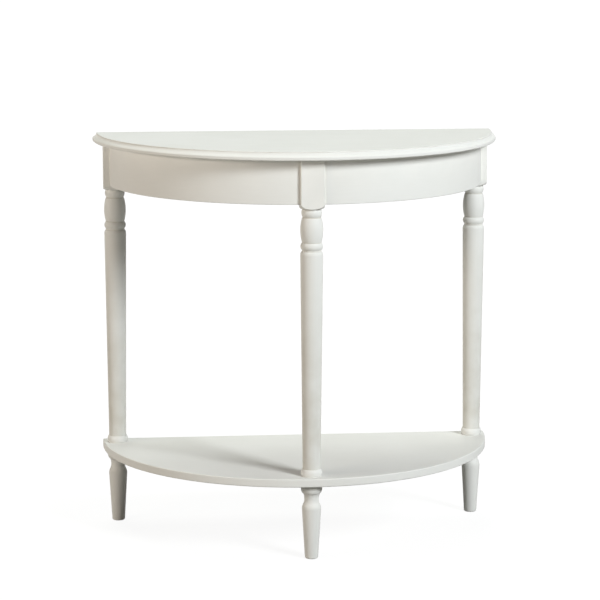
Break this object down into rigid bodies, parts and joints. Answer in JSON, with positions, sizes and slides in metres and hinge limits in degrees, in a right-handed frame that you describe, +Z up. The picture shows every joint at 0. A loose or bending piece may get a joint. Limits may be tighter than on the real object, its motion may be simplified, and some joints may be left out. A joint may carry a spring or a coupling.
{
  "type": "entryway table",
  "caption": "Half-round entryway table in white painted wood with a moulded top, curved apron, turned legs, a half-round lower shelf and tapered turned feet.",
  "frame": {"origin": "on the floor under the middle of the table's width and depth", "axes": "+X along the straight back edge to the viewer's right, +Y to the wall, +Z up; the round front faces -Y"},
  "size_m": [0.8, 0.4, 0.78],
  "materials": {
    "white_paint": "satin off-white paint",
    "bare_beech": "planed, unfinished",
    "zinc_steel": "zinc plated"
  },
  "bodies": {
    "root": {"tabletop": "white_paint", "shelf": "white_paint", "back_rail": "white_paint", "left_apron": "white_paint", "right_apron": "white_paint", "front_leg": "white_paint", "rear_left_leg": "white_paint", "rear_right_leg": "white_paint", "front_foot": "white_paint", "rear_left_foot": "white_paint", "rear_right_foot": "white_paint", "front_corner_block": "bare_beech", "rear_left_corner_block": "bare_beech", "rear_right_corner_block": "bare_beech", "left_apron_cleat": "bare_beech", "right_apron_cleat": "bare_beech", "back_rail_cleat": "bare_beech", "front_dowels": "bare_beech", "rear_dowels": "bare_beech", "back_rail_dowels": "bare_beech", "leg_inserts": "zinc_steel", "hanger_bolts": "zinc_steel", "top_screws": "zinc_steel", "block_screws": "zinc_steel"}
  },
  "joints": []
}
